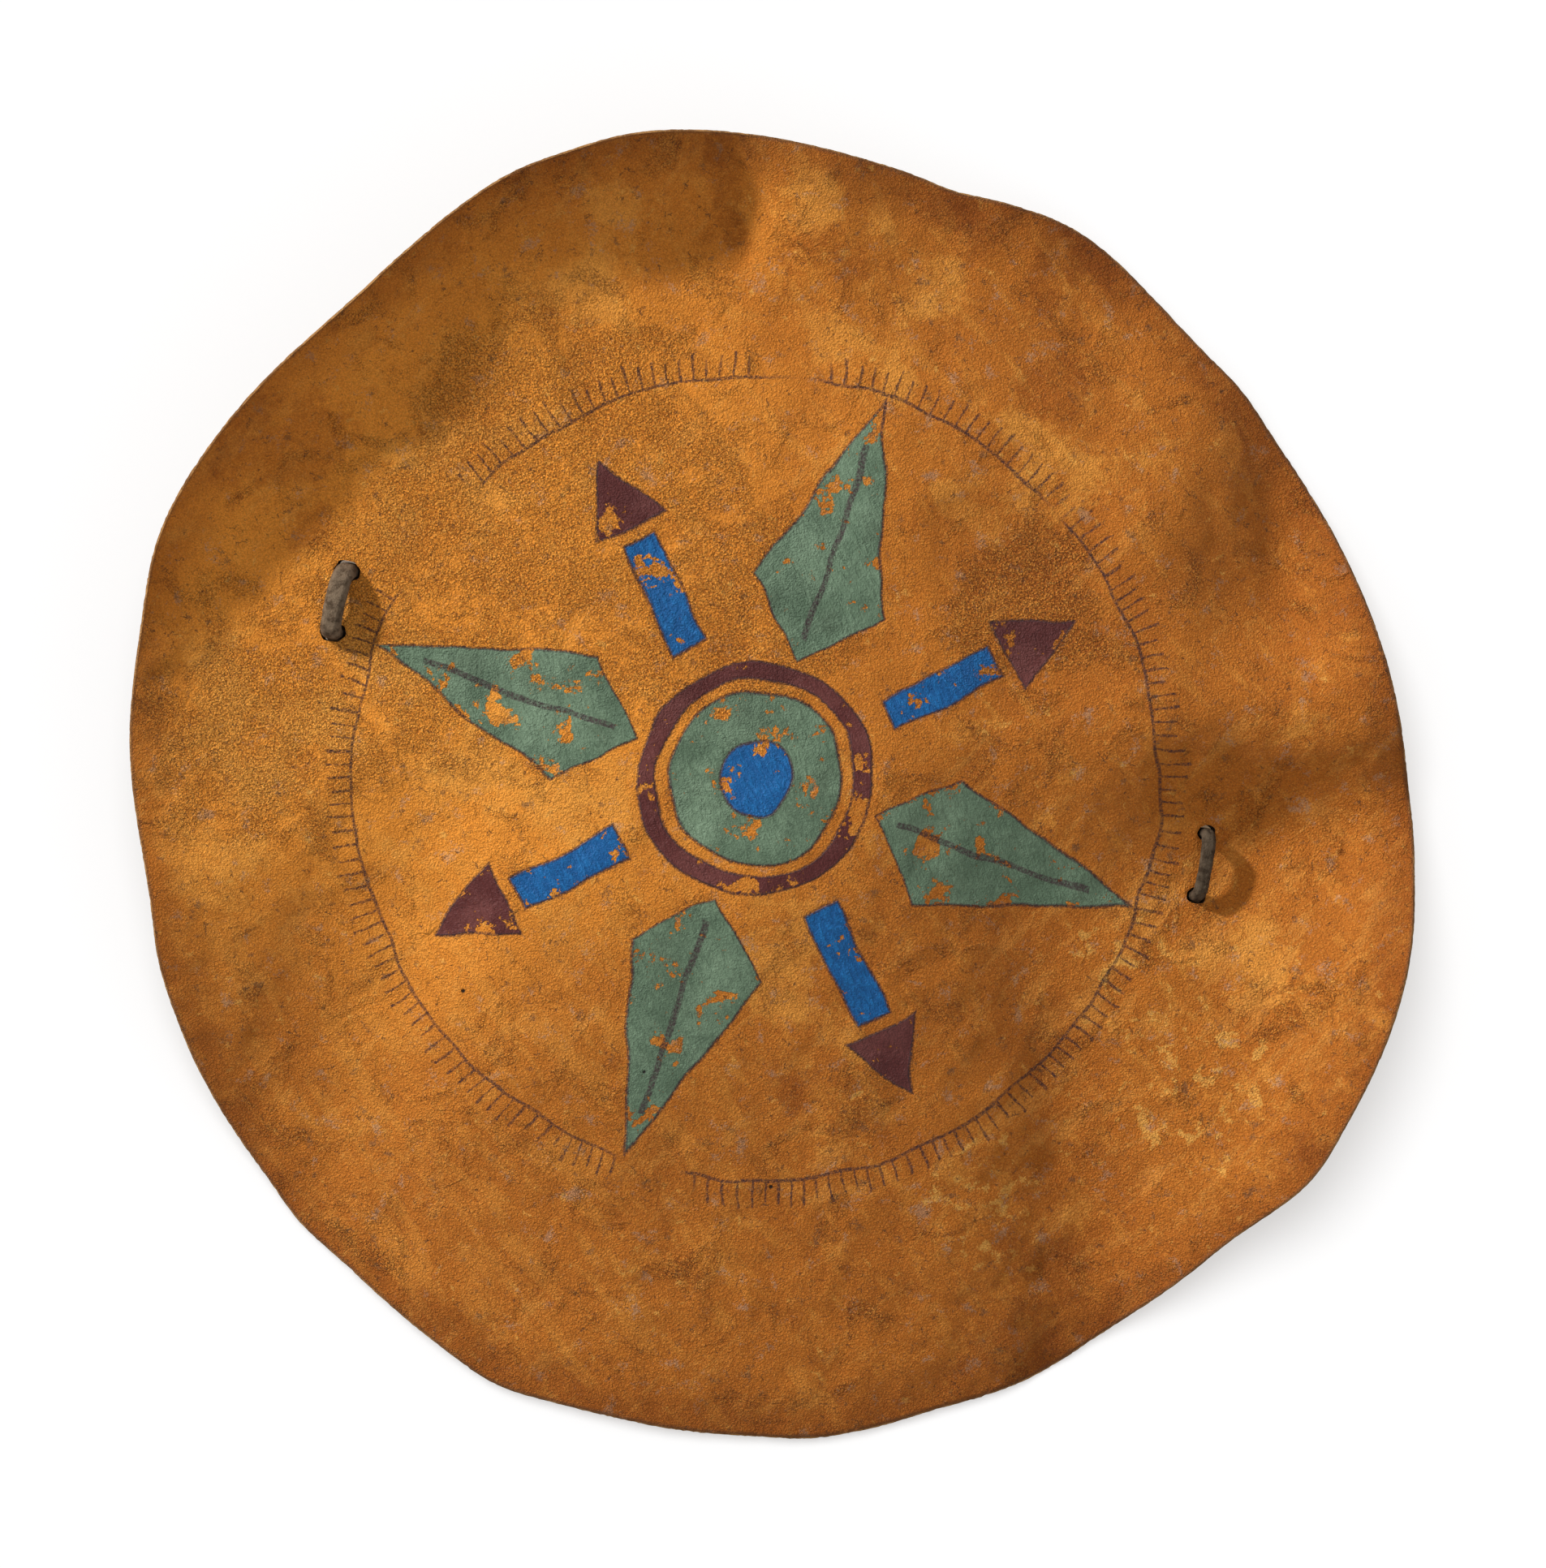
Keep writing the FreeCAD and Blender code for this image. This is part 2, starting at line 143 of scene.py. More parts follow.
# The hide: one dried sheet with a face, a back and a cut rim
hideValues = {
    "mapReach": 0.248,
    "mapStep": 0.002,
    "mapInset": 0.0012,  # the heights are read up to this far inside the rim
    "mapBeyond": 0.012,
    "mapHole": 0.0105,
    "fillTurns": 400,
    "smoothTurns": 9,
    "faceCells": 268,
    "backCells": 108,
    "thickness": 0.0042,
    "wallShares": (0.14, 0.38, 0.64, 0.87),
    "wallLean": 0.15,  # 1 is square to the sheet, 0 is upright
    "leanReach": (0.003, 0.010),
    "rimRounding": 0.0006,
    "rimRoughness": 0.0002,
    "broadRelief": (0.028, 0.0026),  # size, height
    "fineRelief": (0.0075, 0.0007),
    "lipHeight": 0.0006,
    "lipWidth": 0.0012,
    "holeWobble": ((3, 1.0, 0.05), (7, 2.3, 0.035)),  # waves round the hole, shift, share of the radius
    "cutterDepth": 0.03,
    "stillRadius": (0.016, 0.036),  # no relief near the thongs, full relief beyond
    "smoothAngle": 50,
    # small swells and hollows: x, y, direction in degrees, half length, half width, height, in millimetres
    "dents": [
        (178, 92, 100, 38, 9, -2.2), (82, 86, -22, 36, 14, -1.7), (66, 94, 0, 11, 9, -1.0),
        (108, -120, -74, 70, 17, -2.2), (-105, 202, 38, 42, 20, -3.6), (-66, 138, -72, 26, 6.5, -1.3),
        (-78, 144, -72, 24, 7, 0.7), (8, 158, -62, 26, 13, -1.4), (-104, 128, -60, 20, 10, -0.9),
        (-40, 120, 80, 22, 7, -0.7), (-18, 228, 0, 26, 16, 5.0), (-165, -8, 35, 60, 26, 3.0),
        (132, 44, -35, 34, 13, -0.8), (-100, -60, 60, 42, 13, 0.9), (-20, 34, 80, 30, 12, -0.6),
        (-13, 196, -82, 36, 5, -0.8), (150, -60, 50, 40, 14, 0.6), (-172, -74, 75, 44, 14, -1.4),
        (30, 120, 30, 30, 9, 0.6),
    ],
    "rimCorners": [  # degrees, half width in degrees, millimetres outwards
        (324, 4, 1.7), (315, 4.5, -1.8), (245, 4, 1.7), (61, 7, 1.2), (40, 4, 1.5), (223, 4, 1.7),
        (108, 4, -1.2), (73, 3, -1.3), (262, 6, 1.2), (273, 4, 1.1), (284, 4, -1.2), (294, 5, 1.3),
        (356, 4, 1.2), (196, 4, 1.1),
    ],
    "seed": 11,
}


def allHoles():
    for pair in thongPairs.values():
        for side in (-1, 1):
            yield pair, pair["middle"] + pair["along"] * (side * pair["pitch"] / 2)


def slotDistance(points, pair, centre):  # how far points are outside one hole
    across = pair["along"].cross(pair["out"])
    wide, thin = pair["hole"]
    sideways = np.abs((points - np.array(centre)) @ np.array(across)) - (wide - thin) / 2
    lengthways = (points - np.array(centre)) @ np.array(pair["along"])
    return np.hypot(np.maximum(sideways, 0), lengthways) - thin / 2


class HideShape:  # the CAD hide read as a rim and two height maps
    def __init__(self, node, values):
        self.values = values
        self.step, self.reach = values["mapStep"], values["mapReach"]
        self.readRim(node.data)
        points = [vertex.co for vertex in node.data.vertices]
        self.tree = BVHTree.FromPolygons(points, [tuple(face.vertices) for face in node.data.polygons])
        self.face = self.readHeights(0.3, -1)  # cast down from above, then up from below
        self.back = self.readHeights(-0.1, 1)
        self.readLean()

    def readRim(self, mesh):
        places = []
        for face in mesh.polygons:
            if abs(face.normal.z) < 0.1 and face.center.xy.length > 0.19:  # the faces of the cut wall
                places.extend(tuple(mesh.vertices[index].co.xy) for index in face.vertices)
        places = np.array(places)
        angles = np.arctan2(places[:, 1], places[:, 0])
        self.angles = np.linspace(-math.pi, math.pi, 1441)
        self.radii = np.interp(self.angles, np.sort(angles), np.hypot(*places.T)[np.argsort(angles)],
                               period=2 * math.pi)
        for degrees, half, outwards in self.values["rimCorners"]:
            away = (np.degrees(self.angles) - degrees + 180) % 360 - 180
            self.radii += outwards / 1000 * np.exp(-(away / half) ** 2)

    def rim(self, angle):
        return np.interp(angle, self.angles, self.radii)

    def cast(self, x, y, start, way):
        hit = self.tree.ray_cast(Vector((x, y, start)), Vector((0, 0, way)))[0]
        return hit.z if hit else float("nan")

    def readHeights(self, start, way):
        axis = np.arange(-self.reach, self.reach + self.step, self.step)
        heights = np.zeros((len(axis), len(axis)))
        for row, y in enumerate(axis):
            for column, x in enumerate(axis):
                radius, angle = math.hypot(x, y), math.atan2(y, x)
                inner = float(self.rim(angle)) - self.values["mapInset"]
                if radius <= inner:
                    heights[row, column] = self.cast(x, y, start, way)
                    continue
                beyond = min(radius - inner, self.values["mapBeyond"])  # past the rim the slope runs on
                edge = self.cast(inner * math.cos(angle), inner * math.sin(angle), start, way)
                mirrored = inner - beyond
                inside = self.cast(mirrored * math.cos(angle), mirrored * math.sin(angle), start, way)
                heights[row, column] = 2 * edge - inside
        x, y = np.meshgrid(axis, axis)
        for pair, centre in allHoles():
            heights[np.hypot(x - centre.x, y - centre.y) < self.values["mapHole"]] = float("nan")
        gaps = np.isnan(heights)
        heights[gaps] = np.nanmean(heights)
        for turn in range(self.values["fillTurns"]):
            around = (np.roll(heights, 1, 0) + np.roll(heights, -1, 0)
                      + np.roll(heights, 1, 1) + np.roll(heights, -1, 1)) / 4
            heights[gaps] = around[gaps]
        for turn in range(self.values["smoothTurns"]):
            padded = np.pad(heights, 1, mode="edge")
            rows = (padded[:-2] + 2 * padded[1:-1] + padded[2:]) / 4
            heights = (rows[:, :-2] + 2 * rows[:, 1:-1] + rows[:, 2:]) / 4
        return heights

    def height(self, heights, x, y):
        across = (x + self.reach) / self.step
        up = (y + self.reach) / self.step
        column = np.clip(np.floor(across).astype(int), 0, heights.shape[1] - 2)
        row = np.clip(np.floor(up).astype(int), 0, heights.shape[0] - 2)
        right, top = across - column, up - row
        low = heights[row, column] * (1 - right) + heights[row, column + 1] * right
        high = heights[row + 1, column] * (1 - right) + heights[row + 1, column + 1] * right
        return low * (1 - top) + high * top

    def readLean(self):  # how far the cut wall leans, square to the sheet
        cosines, sines = np.cos(self.angles), np.sin(self.angles)
        near, far = self.values["leanReach"]
        outer, inner = self.radii - near, self.radii - far
        rise = (self.height(self.face, outer * cosines, outer * sines)
                - self.height(self.face, inner * cosines, inner * sines))
        slope = np.arctan(rise / (far - near))
        lean = self.values["thickness"] * self.values["wallLean"] * np.sin(slope)
        kernel = np.ones(17) / 17  # evened out over 17 steps of the rim, across its two ends too
        self.lean = np.convolve(np.concatenate([lean[-9:-1], lean, lean[1:9]]), kernel, "valid")

    def inset(self, angle, side):
        lean = np.interp(angle, self.angles, self.lean)
        return np.maximum(lean if side == "face" else -lean, 0)

    def ring(self, angle, share):  # a point of the cut wall, from 0 at the face to 1 at the back
        ends = []
        for side, heights in (("face", self.face), ("back", self.back)):
            radius = self.rim(angle) - self.inset(angle, side)
            x, y = radius * np.cos(angle), radius * np.sin(angle)
            ends.append(np.column_stack([x, y, self.height(heights, x, y)]))
        return ends[0] * (1 - share) + ends[1] * share


def makeSheet(shape, cells, side):
    deselectAll()
    bpy.ops.mesh.primitive_grid_add(x_subdivisions=cells, y_subdivisions=cells, size=2)
    sheet = bpy.context.object
    points = readPoints(sheet)
    u, v = points[:, 0].copy(), points[:, 1].copy()
    x, y = u * np.sqrt(1 - v * v / 2), v * np.sqrt(1 - u * u / 2)  # a square drawn out into a disc
    share, angle = np.hypot(x, y), np.arctan2(y, x)
    inset = shape.inset(angle, side) + shape.values["rimRounding"]
    radius = share * (shape.rim(angle) - inset)
    points[:, 0], points[:, 1] = radius * np.cos(angle), radius * np.sin(angle)
    points[:, 2] = shape.height(shape.face if side == "face" else shape.back, points[:, 0], points[:, 1])
    if side == "face":
        width = shape.values["lipWidth"]
        for pair, centre in allHoles():
            gap = slotDistance(points, pair, centre)
            points[:, 2] += shape.values["lipHeight"] * np.exp(-((gap - width) / width) ** 2)
    writePoints(sheet, points)
    return sheet


def selectRim():
    bpy.ops.object.mode_set(mode="EDIT")
    bpy.ops.mesh.select_mode(type="EDGE")
    bpy.ops.mesh.select_all(action="DESELECT")
    bpy.ops.mesh.select_non_manifold()


def markFaces(hide, first, material):
    for face in hide.data.polygons[first:]:
        face.material_index = hide.data.materials.find(material.name)


def extrudeWall(hide, shape, material):
    values = shape.values
    random = np.random.default_rng(values["seed"])
    faceCount = len(hide.data.polygons)
    for share in values["wallShares"]:
        selectRim()
        bpy.ops.mesh.extrude_edges_move()
        bpy.ops.object.mode_set(mode="OBJECT")
        chosen = np.zeros(len(hide.data.vertices), dtype=bool)
        hide.data.vertices.foreach_get("select", chosen)
        points = readPoints(hide)
        angle = np.arctan2(points[chosen, 1], points[chosen, 0])
        ring = shape.ring(angle, share)
        rough = random.normal(0, values["rimRoughness"], len(angle))
        ring[:, :2] *= (1 - np.abs(rough) / np.hypot(ring[:, 0], ring[:, 1]))[:, None]
        points[chosen] = ring
        writePoints(hide, points)
    markFaces(hide, faceCount, material)


def joinBack(hide, back, material):
    editAll(back, bpy.ops.mesh.flip_normals)
    pickOnly(hide)
    back.select_set(True)
    bpy.ops.object.join()
    faceCount = len(hide.data.polygons)
    selectRim()
    bpy.ops.mesh.bridge_edge_loops()
    editAll(hide, bpy.ops.mesh.normals_make_consistent, inside=False)
    markFaces(hide, faceCount, material)


def addRelief(hide, values):
    still = readPoints(hide)
    displace(hide, "driedSwells", values["broadRelief"], direction="Z")
    displace(hide, "hideGrain", values["fineRelief"], 3, "Z")
    points = readPoints(hide)
    loose = np.ones(len(points))
    for pair in thongPairs.values():
        low, high = values["stillRadius"]
        away = np.linalg.norm(still - np.array(pair["middle"]), axis=1)
        share = np.clip((away - low) / (high - low), 0, 1)
        loose *= share * share * (3 - 2 * share)
    for x, y, direction, halfLength, halfWidth, depth in values["dents"]:
        turn = math.radians(direction)
        sideX, sideY = still[:, 0] * 1000 - x, still[:, 1] * 1000 - y
        lengthways = (sideX * math.cos(turn) + sideY * math.sin(turn)) / halfLength
        sideways = (sideY * math.cos(turn) - sideX * math.sin(turn)) / halfWidth
        points[:, 2] += depth / 1000 * np.exp(-lengthways ** 2 - sideways ** 2)
    points = still + (points - still) * loose[:, None]
    points[:, 2] = np.maximum(points[:, 2], 0)  # worn flat where it rests
    writePoints(hide, points)


def makeHoleCutter(pair, centre, material, seed, values):
    deselectAll()
    wide, thin = pair["hole"]
    bpy.ops.mesh.primitive_cylinder_add(vertices=36, radius=thin / 2, depth=values["cutterDepth"])
    cutter = bpy.context.object
    cutter.data.materials.append(material)
    points = readPoints(cutter)
    angle = np.arctan2(points[:, 1], points[:, 0])
    ragged = 1
    for waves, shift, share in values["holeWobble"]:
        ragged = ragged + share * np.sin(waves * angle + shift * seed)
    points[:, :2] *= ragged[:, None]
    points[:, 0] += np.tanh(points[:, 0] / 0.0005) * (wide - thin) / 2  # a round hole drawn out into a slot
    across = pair["along"].cross(pair["out"])
    turn = np.array([across, pair["along"], pair["out"]])
    writePoints(cutter, points @ turn + np.array(centre))
    return cutter


def makeHide(values, materials):
    shape = HideShape(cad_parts["hide_disc"], values)
    hide = makeSheet(shape, values["faceCells"], "face")
    hide.name = "hide"
    for material in materials.values():
        hide.data.materials.append(material)
    extrudeWall(hide, shape, materials["cutEdge"])
    back = makeSheet(shape, values["backCells"], "back")
    back.data.materials.append(materials["rawBack"])
    joinBack(hide, back, materials["cutEdge"])
    addRelief(hide, values)
    for seed, (pair, centre) in enumerate(allHoles(), 1):
        cutter = makeHoleCutter(pair, centre, materials["holeWall"], seed, values)
        applyModifier(hide, "BOOLEAN", object=cutter, operation="DIFFERENCE", solver="EXACT",
                      material_mode="TRANSFER")
        bpy.data.objects.remove(cutter)
    points = readPoints(hide)
    angle = np.arctan2(points[:, 1], points[:, 0])
    storeAttribute(hide, "rimDistance", shape.rim(angle) - np.hypot(points[:, 0], points[:, 1]))
    storeAttribute(hide, "relief", points[:, 2] - shape.height(shape.face, points[:, 0], points[:, 1]))
    pickOnly(hide)
    bpy.ops.object.shade_smooth_by_angle(angle=math.radians(values["smoothAngle"]))
    handIn(hide, "shield", "hide_disc")


# Suede thongs and the strap, from the CAD solids with rounded and furred surfaces
softValues = {
    "weld": 0.00001,
    "floorGap": 0.0002,
    "thong": {"voxel": 0.00042, "swell": (0.007, 0.0005), "fur": (0.0011, 0.00032)},  # size, height
    "strap": {"voxel": 0.0008, "swell": (0.03, 0.0009), "fur": (0.004, 0.0003)},
}


def makeSoftCopy(name, nodeName, body, material, values, kind, pair=None):
    feel = values[kind]
    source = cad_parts[nodeName]
    piece = bpy.data.objects.new(name, source.data.copy())
    bpy.context.scene.collection.objects.link(piece)
    editAll(piece, bpy.ops.mesh.remove_doubles, threshold=values["weld"])
    piece.data.materials.clear()
    piece.data.materials.append(material)
    applyModifier(piece, "REMESH", mode="VOXEL", voxel_size=feel["voxel"])
    applyModifier(piece, "SMOOTH", factor=0.5, iterations=6)
    for label in ("swell", "fur"):
        displace(piece, name + label, feel[label])
    points = readPoints(piece)
    points[:, 2] = np.maximum(points[:, 2], values["floorGap"])
    writePoints(piece, points)
    if pair:
        storeAttribute(piece, "lift", (points - np.array(pair["middle"])) @ np.array(pair["out"]))
    pickOnly(piece)
    bpy.ops.object.shade_smooth()
    handIn(piece, body, nodeName)


# Rawhide lacing round each folded end of the strap
lacingValues = {
    "turns": (-0.0030, -0.0010, 0.0010, 0.0030),
    "halfWidth": 0.0059,
    "halfThickness": 0.0036,
    "laceWidth": 0.0010,
    "laceDepth": 0.00062,
    "slant": 0.0007,
    "slantShift": 1.9,  # radians from one turn to the next
    "squareness": 0.45,  # 1 is round, nearer 0 is squarer
}


def strapDirections(pair, other):
    level = other["middle"] - pair["middle"]
    level.z = 0
    level.normalize()
    droop = math.radians(pair["droop"])
    heading = level * math.cos(droop) - Vector((0, 0, math.sin(droop)))
    heading = (heading - pair["along"] * heading.dot(pair["along"])).normalized()
    thin = heading.cross(pair["along"]).normalized()
    return heading, thin if thin.z > 0 else -thin


def makeLacing(name, nodeName, pair, other, material, values):
    low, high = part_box(nodeName)
    heading, thin = strapDirections(pair, other)
    turn = np.array([pair["along"], thin, heading])
    tube = 0.1  # radius of the tube of the first ring, whose own radius is 1
    turns = []
    for index, place in enumerate(values["turns"]):
        deselectAll()
        if not turns:
            bpy.ops.mesh.primitive_torus_add(major_radius=1, minor_radius=tube, major_segments=56,
                                             minor_segments=10)
            lace = bpy.context.object
            master = readPoints(lace)
        else:
            lace = turns[0].copy()
            lace.data = turns[0].data.copy()
            bpy.context.scene.collection.objects.link(lace)
        angle = np.arctan2(master[:, 1], master[:, 0])
        proud = (np.hypot(master[:, 0], master[:, 1]) - 1) / tube * values["laceDepth"]
        sides = []
        for wave, half in ((np.cos(angle), values["halfWidth"]), (np.sin(angle), values["halfThickness"])):
            sides.append(np.sign(wave) * np.abs(wave) ** values["squareness"] * (half + proud))
        z = master[:, 2] / tube * values["laceWidth"] + place
        z = z + values["slant"] * np.sin(angle + values["slantShift"] * index)
        writePoints(lace, np.column_stack([*sides, z]) @ turn + np.array((low + high) / 2))
        turns.append(lace)
    pickOnly(turns[0])
    for lace in turns[1:]:
        lace.select_set(True)
    bpy.ops.object.join()
    lacing = bpy.context.object
    lacing.name = name
    lacing.data.materials.clear()
    lacing.data.materials.append(material)
    editAll(lacing, bpy.ops.mesh.normals_make_consistent, inside=False)
    bpy.ops.object.shade_smooth()
    handIn(lacing, "shield", nodeName)


class Net:  # the shader nodes of one material, group or world
    def __init__(self, tree, groups=None):
        self.tree, self.groups = tree, groups

    def connect(self, node, inputs):
        for name, value in inputs.items():
            if isinstance(value, bpy.types.NodeSocket):
                self.tree.links.new(value, node.inputs[name])
            else:
                node.inputs[name].default_value = value
        return node.outputs

    def node(self, kind, inputs=None, **settings):
        node = self.tree.nodes.new("ShaderNode" + kind)
        for name, value in settings.items():
            setattr(node, name, value)
        return self.connect(node, inputs or {})

    def group(self, name, place, **inputs):
        node = self.tree.nodes.new("ShaderNodeGroup")
        node.node_tree = self.groups[name]
        return self.connect(node, {"Vector": place, **inputs})

    def maths(self, operation, first, second=0.0, third=0.0):
        return self.node("Math", {0: first, 1: second, 2: third}, operation=operation)[0]

    times = partialmethod(maths, "MULTIPLY")
    timesPlus = partialmethod(maths, "MULTIPLY_ADD")
    plus = partialmethod(maths, "ADD")
    minus = partialmethod(maths, "SUBTRACT")
    least = partialmethod(maths, "MINIMUM")

    def most(self, first, *others):
        for other in others:
            first = self.maths("MAXIMUM", first, other)
        return first

    def vector(self, operation, *parts):
        return self.node("VectorMath", dict(enumerate(parts)), operation=operation)[0]

    def distance(self, place, x, y, z):
        return self.node("VectorMath", {0: place, 1: (x, y, z)}, operation="DISTANCE")["Value"]

    def radius(self, place):
        return self.node("VectorMath", {0: place}, operation="LENGTH")["Value"]

    def attribute(self, name):
        return self.node("Attribute", attribute_name=name)["Fac"]

    def mix(self, factor, first, second, kind="MIX"):
        return self.node("Mix", {0: factor, 6: first, 7: second}, data_type="RGBA", blend_type=kind)[2]

    def tint(self, mask, share, first, second, kind="MIX"):
        return self.mix(self.times(mask, share), first, second, kind)

    def fade(self, value, low, high, start=0.0, end=1.0):
        ends = {"Value": value, "From Min": low, "From Max": high, "To Min": start, "To Max": end}
        return self.node("MapRange", ends, interpolation_type="SMOOTHSTEP")["Result"]

    def wave(self, place, scale, detail=2.0, roughness=0.5, distortion=0.0):
        return self.node("TexNoise", {"Vector": place, "Scale": scale, "Detail": detail,
                                      "Roughness": roughness, "Distortion": distortion})

    def noise(self, *values):
        return self.wave(*values)["Fac"]

    def millimetres(self, turn=0.0, stretch=(1, 1, 1)):  # turned first, then drawn out along its own axes
        place = self.node("TexCoord")["Object"]
        scale = tuple(0.001 / part for part in stretch)
        return self.node("Mapping", {"Vector": place, "Rotation": (0, 0, turn), "Scale": scale},
                         vector_type="TEXTURE")[0]

    def shifted(self, place, step):  # another part of the same noise
        return self.vector("ADD", place, (step, 0.7 * step, 13))

    def rounds(self, place, places):  # soft round places, each x, y and radius in millimetres
        flat = self.vector("MULTIPLY", place, (1, 1, 0))
        masks = [self.fade(self.distance(flat, x, y, 0), 0.35 * radius, radius, 1, 0) for x, y, radius in places]
        return self.most(*masks)

    def blotches(self, place, size, cover, softness, ragged):
        return self.group("blotches", place, Size=size, Cover=cover, Softness=softness, Ragged=ragged)["Mask"]

    def nap(self, place, grain, smoothness):
        return self.group("nap", place, Grain=grain, Smoothness=smoothness)["Height"]

    def cracks(self, place, length, width, cover):
        return self.group("cracks", place, Length=length, Width=width, Cover=cover)["Mask"]

    def stains(self, place, colour, layers):  # stains and scuffs laid over a colour in turn
        for index, layer in enumerate(layers):
            cover = layer["cover"]
            if "spots" in layer:
                cover = self.timesPlus(self.rounds(place, layer["spots"]), layer["extra"], cover)
            field = self.millimetres(layer["turn"], (1, 0.22, 1)) if "turn" in layer else place
            mask = self.blotches(self.shifted(field, 37 * index + 11), layer["size"], cover,
                                 layer["softness"], layer["ragged"])
            colour = self.tint(mask, layer["amount"], colour, layer["colour"], layer.get("kind", "MIX"))
        return colour

    def surface(self, colour, height, **others):  # height in millimetres
        bump = self.node("Bump", {"Strength": 1.0, "Distance": 0.001, "Height": height})
        self.connect(self.tree.nodes["Principled BSDF"], {"Base Color": colour, "Normal": bump[0], **others})
        return self.material


def newMaterial(name, groups, specular, roughness=0.5):
    material = bpy.data.materials.new(name)
    material.use_nodes = True
    net = Net(material.node_tree, groups)
    net.material = material
    net.connect(net.tree.nodes["Principled BSDF"], {"Specular IOR Level": specular, "Roughness": roughness})
    return net, net.millimetres()


def newGroup(name, inputs, outputs):
    tree = bpy.data.node_groups.new(name, "ShaderNodeTree")
    tree.interface.new_socket(name="Vector", in_out="INPUT", socket_type="NodeSocketVector")
    for label in inputs:
        tree.interface.new_socket(name=label, in_out="INPUT", socket_type="NodeSocketFloat")
    for label in outputs:
        tree.interface.new_socket(name=label, in_out="OUTPUT", socket_type="NodeSocketFloat")
    return Net(tree), tree.nodes.new("NodeGroupInput").outputs, tree.nodes.new("NodeGroupOutput")


def makeNapGroup():  # crumbs of a rough skin: height, painted shade in the pits between them, painted highlight with wear on the tops, and specks
    net, given, result = newGroup("napGrain", ["Grain", "Smoothness"], ["Height", "Pits", "Tops", "Grit"])
    place = given["Vector"]
    scale = net.maths("DIVIDE", 0.92, given["Grain"])
    bent = net.vector("MULTIPLY_ADD", net.wave(place, scale)["Color"], (1.3, 1.3, 1.3), place)
    cells = net.node("TexVoronoi", {"Vector": bent, "Scale": scale, "Detail": 0.0})
    crumbs = net.fade(cells["Distance"], 0.1, 0.75, 1, 0)
    grains = net.noise(place, net.times(scale, 1.7), 2.0, 0.6)
    lumps = net.noise(place, net.times(scale, 0.27), 2.0, 0.55, 0.4)
    patches = net.noise(place, net.times(scale, 0.045), 4.0, 0.68, 0.8)
    rough = net.fade(net.minus(patches, given["Smoothness"]), -0.1, 0.12, 0.36, 1.0)
    level = net.timesPlus(net.fade(grains, 0.3, 0.7), 0.45, net.times(crumbs, 0.55))
    grit = net.noise(net.shifted(place, 71), net.times(scale, 1.5), 2.0, 0.7)
    net.connect(result, {
        "Height": net.times(net.timesPlus(lumps, 0.9, level), rough),
        "Pits": net.times(net.fade(level, 0.38, 0.12), rough),
        "Tops": net.times(net.fade(level, 0.55, 0.85), rough),
        "Grit": net.times(net.fade(grit, 0.36, 0.64, -1, 1), rough),
    })
    return net.tree


def makeBlotchGroup():  # ragged patches: stains, smudges, scuffs, worn places
    net, given, result = newGroup("blotches", ["Size", "Cover", "Softness", "Ragged"], ["Mask"])
    scale = net.maths("DIVIDE", 1.0, given["Size"])
    broad = net.noise(given["Vector"], scale, 3.0, 0.55, 0.3)
    fine = net.noise(given["Vector"], net.times(scale, 9.0), 3.0, 0.65)
    level = net.plus(broad, net.times(net.minus(fine, 0.5), given["Ragged"]))
    edge = net.minus(0.78, net.times(given["Cover"], 0.56))
    low, high = net.minus(edge, given["Softness"]), net.plus(edge, given["Softness"])
    net.connect(result, {"Mask": net.fade(level, low, high)})
    return net.tree


def makeCrackGroup():  # fine broken lines, from the level lines of a noise
    net, given, result = newGroup("cracks", ["Length", "Width", "Cover"], ["Mask"])
    scale = net.maths("DIVIDE", 1.0, given["Length"])
    field = net.noise(given["Vector"], scale, 4.0, 0.55, 0.2)
    off = net.maths("ABSOLUTE", net.minus(field, 0.5))
    line = net.fade(off, 0.0, net.times(given["Width"], scale), 1.0, 0.0)
    breaks = net.noise(given["Vector"], net.times(scale, 3.1), 2.0, 0.5)
    low = net.minus(0.72, net.times(given["Cover"], 0.4))
    net.connect(result, {"Mask": net.times(line, net.fade(breaks, low, net.plus(low, 0.06)))})
    return net.tree


# The painted wheel: plain rays, bars and rings in the old colours, sizes in millimetres
designValues = {
    "centre": (-6, 2),
    "turn": 0.33,  # radians
    "wobbles": ((1 / 26, 1.0, 3.4), (0.5, 2.0, 0.32)),  # scale, detail, size
    "lineHalf": 0.62,
    "hubRadius": 13,
    "discRadius": 31,
    "ring": (38.5, 3.0),  # middle, half width
    "rays": (4, 45, 141, 1.05, 0.33),  # count, start, end, opening slope, closing slope
    "spine": (8, 16, 1.1),  # short of the start, short of the end, half width
    "bars": (52, 94, 6.2),  # start, end, half width
    "tips": (99, 126, 0.52),  # start, end, slope
    "outerRing": 143,
    "ticks": (190, 9.0),  # count, length
    "sage": (0.095, 0.150, 0.092, 1),
    "sageLight": (0.17, 0.25, 0.16, 1),
    "sageDark": (0.07, 0.10, 0.06, 1),
    "cobalt": (0.004, 0.085, 0.26, 1),
    "cobaltLight": (0.009, 0.14, 0.38, 1),
    "maroon": (0.085, 0.016, 0.014, 1),
    "maroonLight": (0.13, 0.035, 0.03, 1),
    "line": (0.045, 0.022, 0.026, 1),
    "chips": (13, 0.29, 0.01, 0.25),  # size, cover, softness, ragged
    "flecks": (5, 0.16, 0.02, 0.25),
}


